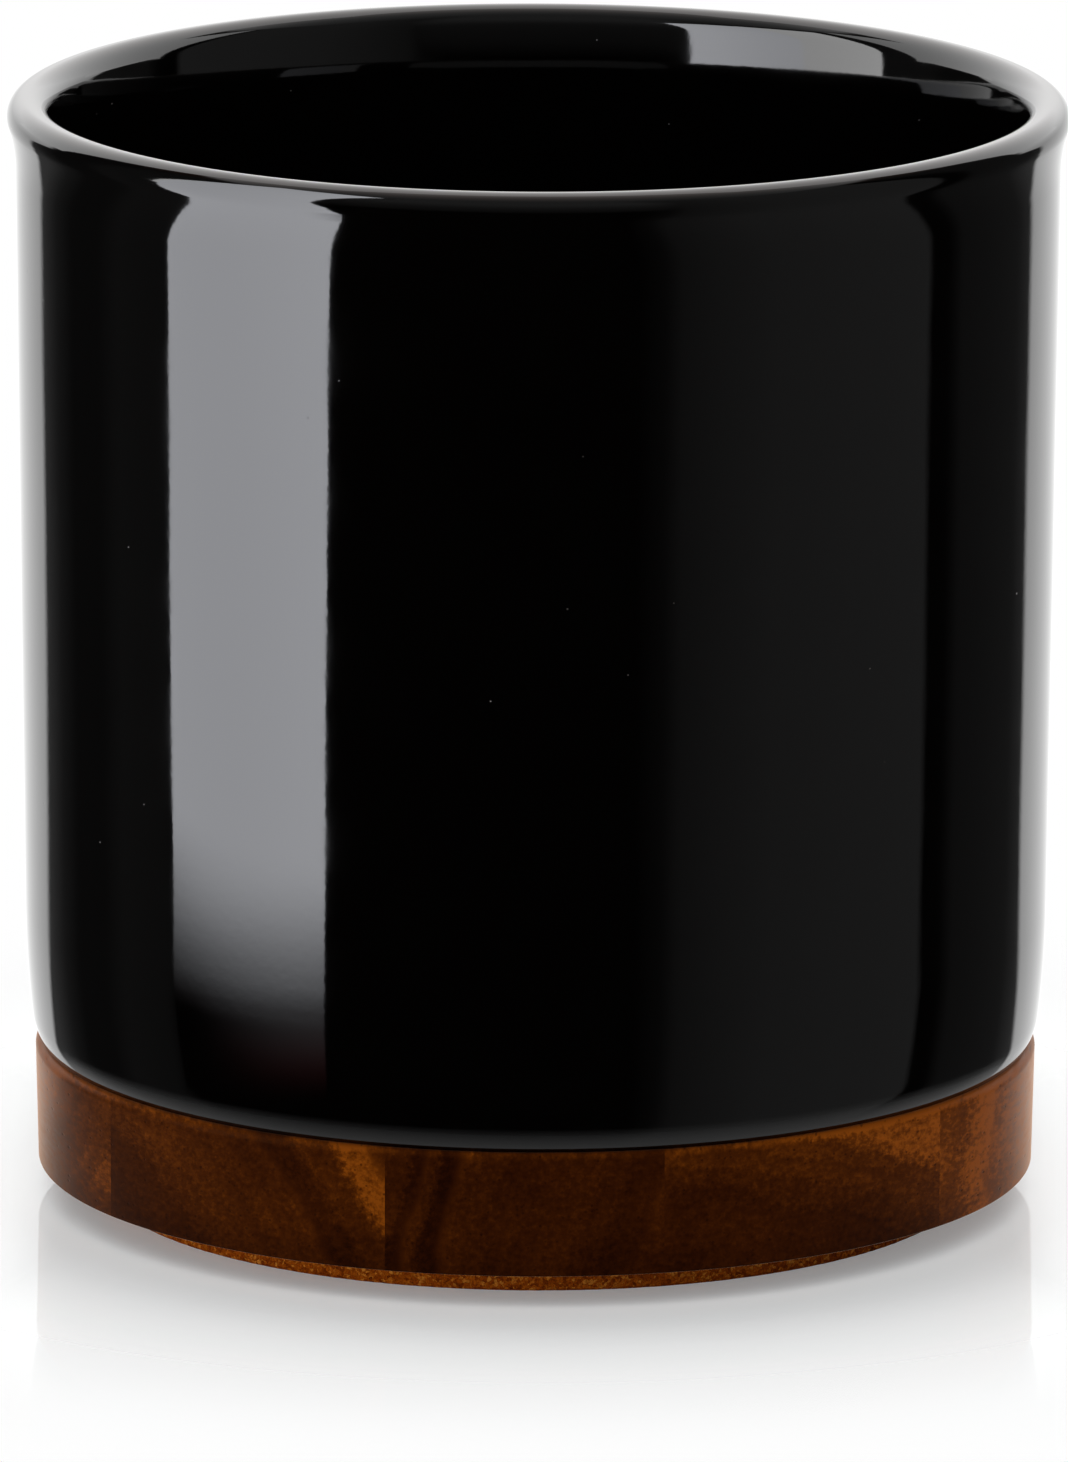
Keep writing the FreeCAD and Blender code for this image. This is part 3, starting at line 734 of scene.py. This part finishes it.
def floor_material():
    """Matt white that fades into the background, with a faint sharp mirror, a painted glow by the base that
    lightens its contact shadow for the camera, and clear from below.

    Light that the camera does not see directly passes through it under the cork, so the underside is lit.
    """
    material, tree = new_material("white_floor")
    place = tree.object_place()
    distance = tree.add("ShaderNodeVectorMath", {0: place}, operation="LENGTH").outputs["Value"]
    aside = tree.math("ABSOLUTE", tree.split(place)[0])
    seen = tree.add("ShaderNodeLightPath").outputs["Is Camera Ray"]
    under = tree.add("ShaderNodeNewGeometry").outputs["Backfacing"]
    clear = tree.add("ShaderNodeBsdfTransparent").outputs[0]
    gloss = tree.add("ShaderNodeBsdfGlossy", {"Color": WHITE, "Roughness": 0.0}).outputs[0]
    matt = tree.add("ShaderNodeBsdfDiffuse", {"Color": FLOOR_COLOUR}).outputs[0]
    # Painted light: a glow that only the camera sees, lightening the shadow next to the base
    glow = tree.math("MULTIPLY", seen, tree.fade(distance, *FLOOR_PAINTED_GLOW_TO, FLOOR_PAINTED_GLOW, 0.0))
    painted_contact_glow = tree.add("ShaderNodeEmission", {"Strength": glow}).outputs[0]
    lit = tree.add("ShaderNodeAddShader", {0: matt, 1: painted_contact_glow}).outputs[0]
    seen_clear = tree.math("MAXIMUM", stepped(tree, distance, FLOOR_SEEN_CLEAR),
                           tree.fade(aside, *FLOOR_ASIDE, 0.0, FLOOR_ASIDE_CLEAR))
    clear_share = tree.blend(seen, stepped(tree, distance, FLOOR_CLEAR), seen_clear)
    mirror = tree.math("MULTIPLY", seen, tree.fade(distance, *FLOOR_GLOSS_TO, FLOOR_GLOSS, 0.0))
    top = tree.layer(mirror, tree.layer(clear_share, lit, clear), gloss)
    tree.add("ShaderNodeOutputMaterial", {"Surface": tree.layer(under, top, clear)})
    return material


def make_floor():
    """A small white table top, which keeps the shadow and a faint reflection of the base."""
    mesh = bpy.data.meshes.new("floor")
    body = bmesh.new()
    bmesh.ops.create_circle(body, cap_ends=True, radius=FLOOR_RADIUS, segments=FLOOR_STEPS)
    body.to_mesh(mesh)
    body.free()
    mesh.materials.append(floor_material())
    floor = bpy.data.objects.new("floor", mesh)
    floor.location.z = -FLOOR_DEPTH
    bpy.context.scene.collection.objects.link(floor)


# Studio: places in metres, and directions as degrees round from the camera's side, left negative, and
# degrees above the horizon
STRIP_NEAR = Vector((-0.177, -0.215, 0.0))
STRIP_FAR = Vector((-0.259, -0.058, 0.0))
STRIP_SLANT = 0.044
STRIP_FOOT = (-0.020, 0.0255)
STRIP_FOOT_POWER = 2.0
STRIP_TOP = 0.53
STRIP_TAIL = (-0.055, -0.005)
STRIP_TAIL_FAR = -0.075
STRIP_TAIL_SHARE = 0.058
STRIP_TAIL_COLOUR = (1.0, 0.15, 0.17)
STRIP_OUTLINE = ((0.072, STRIP_TAIL[0]), (0.0, 0.13), (0.08, 0.20), (0.08, STRIP_TOP),
                 (0.972, STRIP_TOP), (0.972, STRIP_TAIL[0]))
STRIP_LIGHT = 6.95
STRIP_FAR_SHARE = 0.79
STRIP_COLOUR = (0.93, 0.945, 1.0)
CARD_ASIDE = 0.30
CARD_BACK = (0.13, 0.42)
CARD_HEIGHTS = (0.24, 0.62)
CARD_LIGHT = 2.0
SIDE_STOPS = ((-142.0, 0.12), (-133.0, 0.045), (-125.0, 0.018), (-114.0, 0.022), (-106.0, 0.05),
              (-92.0, 0.05), (-86.0, 0.0), (22.0, 0.0), (28.0, 0.03), (32.0, 0.085), (41.0, 0.12),
              (54.0, 0.162), (73.0, 0.175), (95.5, 0.162), (97.5, 0.0), (103.0, 0.005), (108.0, 0.045),
              (132.0, 0.045), (142.0, 0.1))
SIDE_ELEVATIONS = (-60.0, 52.0)
BACK_AZIMUTHS = ((-26.0, 150.5), (-13.0, 139.5), (0.0, 136.5), (6.0, 127.0))
BACK_SOFT = 4.0
BACK_TURN = 1.2
BACK_ELEVATIONS = (-45.0, 66.0)
BACK_STOPS = ((-13.0, 1.3), (2.0, 1.3), (12.0, 2.0))
BOX_AZIMUTHS = (-90.5, -60.0)
BOX_ELEVATIONS = (3.0, 48.0)
BOX_SOFT = 1.0
BOX_LIGHT = 5.2
FRONT_AZIMUTHS = (-40.0, 25.0)
FRONT_SOFT = 25.0
FRONT_STOPS = ((4.0, 0.0), (12.0, 0.05), (30.0, 0.10), (50.0, 0.22))
TOP_FROM = 50.0
TOP_STOPS = ((55.0, 2.0), (72.0, 0.86), (87.0, 0.45), (112.0, 0.16), (130.0, 0.0))
ROOM_LIGHT = 1.0
BACKGROUND_ASIDE = 0.72
BACKGROUND_TURN = (0.15, 0.75)


def studio_light(tree, azimuth, elevation, over):
    """What the glaze shows: dim sides, a white backdrop curled overhead, a side box and a faint front."""
    sides = tree.math("MULTIPLY", stepped(tree, azimuth, SIDE_STOPS),
                      tree.band(elevation, *SIDE_ELEVATIONS, BACK_SOFT))
    aside = tree.math("ABSOLUTE", tree.math("ADD", azimuth, BACK_TURN))
    past_edge = tree.math("SUBTRACT", aside, stepped(tree, elevation, BACK_AZIMUTHS))
    behind = tree.math("MULTIPLY", tree.fade(past_edge, 0.0, BACK_SOFT),
                       tree.band(elevation, *BACK_ELEVATIONS, BACK_SOFT))
    backdrop = tree.math("MULTIPLY", behind, stepped(tree, elevation, BACK_STOPS))
    ceiling = tree.math("MULTIPLY", tree.fade(elevation, TOP_FROM, TOP_FROM + BACK_SOFT),
                        stepped(tree, over, TOP_STOPS))
    front = tree.math("MULTIPLY", tree.band(azimuth, *FRONT_AZIMUTHS, FRONT_SOFT),
                      stepped(tree, elevation, FRONT_STOPS))
    box = tree.math("MULTIPLY", tree.band(azimuth, *BOX_AZIMUTHS, BOX_SOFT),
                    tree.band(elevation, *BOX_ELEVATIONS, BOX_SOFT))
    light = tree.math("MULTIPLY", box, BOX_LIGHT)
    for part in (sides, backdrop, ceiling, front):
        light = tree.math("MAXIMUM", light, part)
    return light


def make_world():
    """White behind the pot for the camera, pale grey elsewhere, and an even white room for matt surfaces.

    Glossy and clear surfaces show the studio, and the sharp mirror of the table top only the background.
    """
    world = bpy.data.worlds.new("studio")
    bpy.context.scene.world = world
    world.use_nodes = True
    tree = Tree(world.node_tree)
    x, y, z = tree.split(tree.add("ShaderNodeTexCoord").outputs["Generated"])
    azimuth = tree.math("DEGREES", tree.math("ARCTAN2", x, tree.math("MULTIPLY", y, -1.0)))
    elevation = tree.math("DEGREES", tree.math("ARCSINE", z))
    over = tree.math("DEGREES", tree.math("ARCTAN2", z, y))
    path = tree.add("ShaderNodeLightPath").outputs
    background = tree.fade(y, *BACKGROUND_TURN, BACKGROUND_ASIDE, 1.0)
    room = tree.blend(path["Is Camera Ray"], ROOM_LIGHT, background)
    table = tree.math("MULTIPLY", background, stepped(tree, elevation, BACK_STOPS))
    gloss = tree.blend(path["Is Singular Ray"], studio_light(tree, azimuth, elevation, over), table)
    mirrored = tree.math("MAXIMUM", path["Is Glossy Ray"], path["Is Transmission Ray"])
    light = tree.blend(mirrored, room, gloss)
    white = tree.add("ShaderNodeBackground", {"Color": WHITE, "Strength": light})
    tree.add("ShaderNodeOutputWorld", {"Surface": white.outputs[0]})
    world.cycles.sampling_method = "NONE"


def add_card(name, near, far, outline, material):
    """An upright card that only gloss shows, with corners as shares from near to far, and heights."""
    mesh = bpy.data.meshes.new(name)
    corners = [near.lerp(far, share) + Vector((0.0, 0.0, height)) for share, height in outline]
    mesh.from_pydata(corners, [], [range(len(corners))])
    material.cycles.emission_sampling = "NONE"
    mesh.materials.append(material)
    card = bpy.data.objects.new(name, mesh)
    card.visible_camera = False
    card.visible_diffuse = False
    card.visible_shadow = False
    bpy.context.scene.collection.objects.link(card)


def unless_table(tree):
    """One for the gloss of the pot, and zero for the sharp mirror of the table top, which shows no cards."""
    sharp = tree.add("ShaderNodeLightPath").outputs["Is Singular Ray"]
    return tree.math("SUBTRACT", 1.0, sharp)


def make_strip_card():
    """A tall soft box close by on the left, dimmer at its far side and its slanting foot."""
    material, tree = new_material("strip_glow")
    _, y, z = tree.split(tree.object_place())
    side_share = stepped(tree, y, ((STRIP_NEAR.y, 1.0), (STRIP_FAR.y, STRIP_FAR_SHARE)))
    middle = (STRIP_NEAR.y + STRIP_FAR.y) / 2.0
    slant = tree.math("MULTIPLY", tree.math("SUBTRACT", y, middle), STRIP_SLANT)
    height = tree.math("SUBTRACT", z, slant)
    rise = tree.math("POWER", tree.fade(height, *STRIP_FOOT), STRIP_FOOT_POWER)
    tail = tree.math("MULTIPLY", tree.fade(height, *STRIP_TAIL, 0.0, STRIP_TAIL_SHARE),
                     tree.fade(y, STRIP_TAIL_FAR, STRIP_NEAR.y))
    height_share = tree.math("ADD", rise, tail)
    light = tree.math("MULTIPLY", tree.math("MULTIPLY", height_share, STRIP_LIGHT), side_share)
    light = tree.math("MULTIPLY", light, unless_table(tree))
    colour = tree.mix(tree.fade(height, STRIP_TAIL[0], 0.0), STRIP_TAIL_COLOUR, STRIP_COLOUR)
    glow = tree.add("ShaderNodeEmission", {"Color": colour, "Strength": light})
    tree.add("ShaderNodeOutputMaterial", {"Surface": glow.outputs[0]})
    add_card("strip", STRIP_NEAR, STRIP_FAR, STRIP_OUTLINE, material)


def make_back_cards():
    """A white card at each back corner, which the inside of the lip shows."""
    material, tree = new_material("card_glow")
    light = tree.math("MULTIPLY", unless_table(tree), CARD_LIGHT)
    glow = tree.add("ShaderNodeEmission", {"Strength": light})
    tree.add("ShaderNodeOutputMaterial", {"Surface": glow.outputs[0]})
    low, high = CARD_HEIGHTS
    for name, side in (("card_left", -1.0), ("card_right", 1.0)):
        near, far = [Vector((side * CARD_ASIDE, back, 0.0)) for back in CARD_BACK]
        add_card(name, near, far, ((0.0, low), (1.0, low), (1.0, high), (0.0, high)), material)


def make_camera():
    """A long lens a little above the rim, as the photo was taken."""
    data = bpy.data.cameras.new("camera")
    data.sensor_fit = "VERTICAL"
    data.sensor_height = SENSOR
    data.lens = CAMERA_FOCAL_PIXELS / PHOTO_HEIGHT * SENSOR
    data.clip_end = CAMERA_REACH
    camera = bpy.data.objects.new("camera", data)
    back = Vector((0.0, -math.cos(CAMERA_ELEVATION), math.sin(CAMERA_ELEVATION)))
    level = Matrix.Rotation(math.pi / 2.0 - CAMERA_ELEVATION, 4, "X")
    camera.matrix_world = (Matrix.Translation(CAMERA_AIM + back * CAMERA_DISTANCE) @ level
                           @ Matrix.Rotation(CAMERA_ROLL, 4, "Z"))
    bpy.context.scene.collection.objects.link(camera)
    bpy.context.scene.camera = camera


make_crock()
make_staves()
make_cork()
make_floor()
make_world()
make_strip_card()
make_back_cards()
make_camera()
bpy.context.scene.view_settings.view_transform = "Standard"
